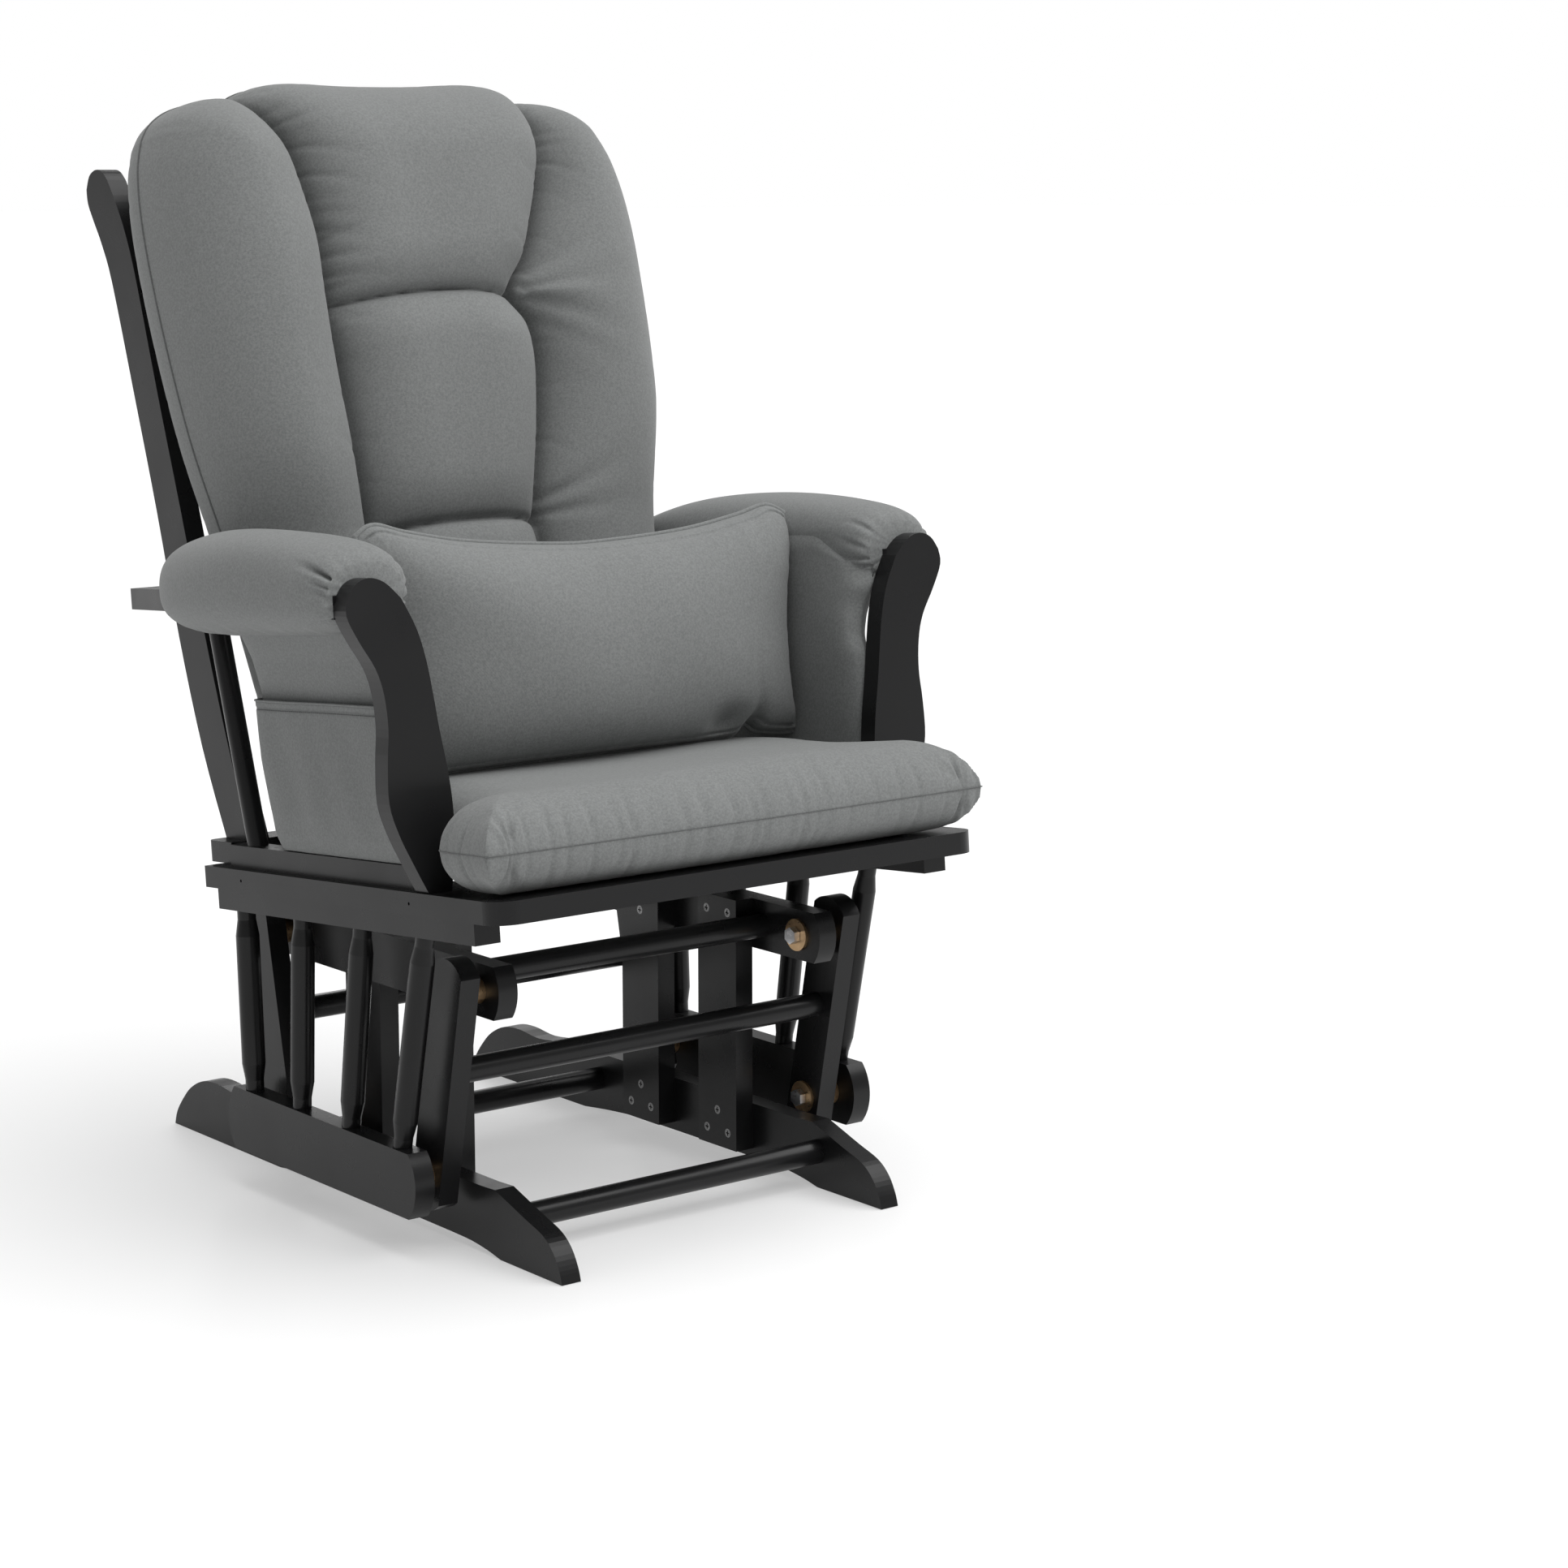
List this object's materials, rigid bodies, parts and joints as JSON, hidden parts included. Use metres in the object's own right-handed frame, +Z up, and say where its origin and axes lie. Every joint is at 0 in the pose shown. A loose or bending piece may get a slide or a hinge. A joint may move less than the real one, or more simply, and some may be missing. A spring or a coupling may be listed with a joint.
{
  "type": "glider nursery chair",
  "caption": "Padded glider armchair: a cushioned seat, back and arms hung by swing arms from a fixed wooden base, with side pockets and a lumbar pillow.",
  "frame": {"origin": "on the floor, under the middle of the whole chair's bounding box", "axes": "+Z up, the sitter faces -Y, +X is to the right for someone who stands in front of the chair and looks at it (named right in the node names); all glide pivots run along X"},
  "size_m": [0.73, 0.7896, 1.0868],
  "materials": {
    "frame_wood": "satin black lacquer",
    "turned_wood": "satin black lacquer on turned bars",
    "steel_hardware": "zinc plated",
    "brass_hardware": "satin",
    "seat_fabric": "fine plain weave, matt",
    "back_fabric": "fine plain weave, matt",
    "pillow_fabric": "fine plain weave, matt",
    "arm_fabric": "fine plain weave, matt"
  },
  "bodies": {
    "base": {"left_runner": "frame_wood", "right_runner": "frame_wood", "left_front_post": "frame_wood", "left_rear_post": "frame_wood", "right_front_post": "frame_wood", "right_rear_post": "frame_wood", "left_hanger_rail": "frame_wood", "right_hanger_rail": "frame_wood", "front_top_stretcher": "turned_wood", "rear_top_stretcher": "turned_wood", "front_floor_stretcher": "turned_wood", "rear_floor_stretcher": "turned_wood", "base_screws": "steel_hardware", "hanger_bearings": "brass_hardware"},
    "front_swing": {"left_front_swing_arm": "frame_wood", "right_front_swing_arm": "frame_wood", "front_swing_tie": "turned_wood", "front_arm_bearings": "brass_hardware", "front_hanger_bolts": "steel_hardware", "front_arm_inserts": "brass_hardware"},
    "rear_swing": {"left_rear_swing_arm": "frame_wood", "right_rear_swing_arm": "frame_wood", "rear_swing_tie": "turned_wood", "rear_arm_bearings": "brass_hardware", "rear_hanger_bolts": "steel_hardware", "rear_arm_inserts": "brass_hardware"},
    "seat": {"left_lower_rail": "frame_wood", "right_lower_rail": "frame_wood", "lower_rail_bolts": "steel_hardware", "lower_rail_inserts": "brass_hardware", "left_spindles": "turned_wood", "right_spindles": "turned_wood", "left_cleat": "frame_wood", "right_cleat": "frame_wood", "seat_front_rail": "frame_wood", "seat_rear_rail": "frame_wood", "left_seat_side_rail": "frame_wood", "right_seat_side_rail": "frame_wood", "seat_springs": "steel_hardware", "arm_base_screws": "steel_hardware", "back_foot_rail": "frame_wood", "left_arm_base_rail": "frame_wood", "right_arm_base_rail": "frame_wood", "left_arm_post": "frame_wood", "right_arm_post": "frame_wood", "arm_spindles": "turned_wood", "left_arm_board": "frame_wood", "right_arm_board": "frame_wood", "left_back_post": "frame_wood", "right_back_post": "frame_wood", "crest_rail": "frame_wood", "back_spindles": "turned_wood", "seat_cushion": "seat_fabric", "back_cushion": "back_fabric", "left_arm_pad": "arm_fabric", "right_arm_pad": "arm_fabric", "left_arm_cover": "arm_fabric", "right_arm_cover": "arm_fabric", "side_pockets": "arm_fabric"},
    "pillow": {"lumbar_pillow": "pillow_fabric"}
  },
  "joints": [
    {"name": "glide", "type": "hinge", "parent": "base", "child": "front_swing", "pos_m": [0, -0.24112, 0.25], "axis": [1, 0, 0], "range_deg": [-11, 11]},
    {"name": "rear_swing_pivot", "type": "hinge", "parent": "base", "child": "rear_swing", "pos_m": [0, 0.09488, 0.25], "axis": [1, 0, 0], "range_deg": [-11, 11]},
    {"name": "seat_pivot", "type": "hinge", "parent": "front_swing", "child": "seat", "pos_m": [0, -0.20612, 0.073], "axis": [1, 0, 0], "range_deg": [-13.9, 13.9]},
    {"name": "pillow_lift", "type": "slide", "parent": "seat", "child": "pillow", "axis": [0, 0, 1], "range_m": [0, 0.3]}
  ],
  "couplings": [
    {"joint": "rear_swing_pivot", "follows": "glide", "ratio": 1},
    {"joint": "seat_pivot", "follows": "glide", "ratio": -1.26}
  ]
}
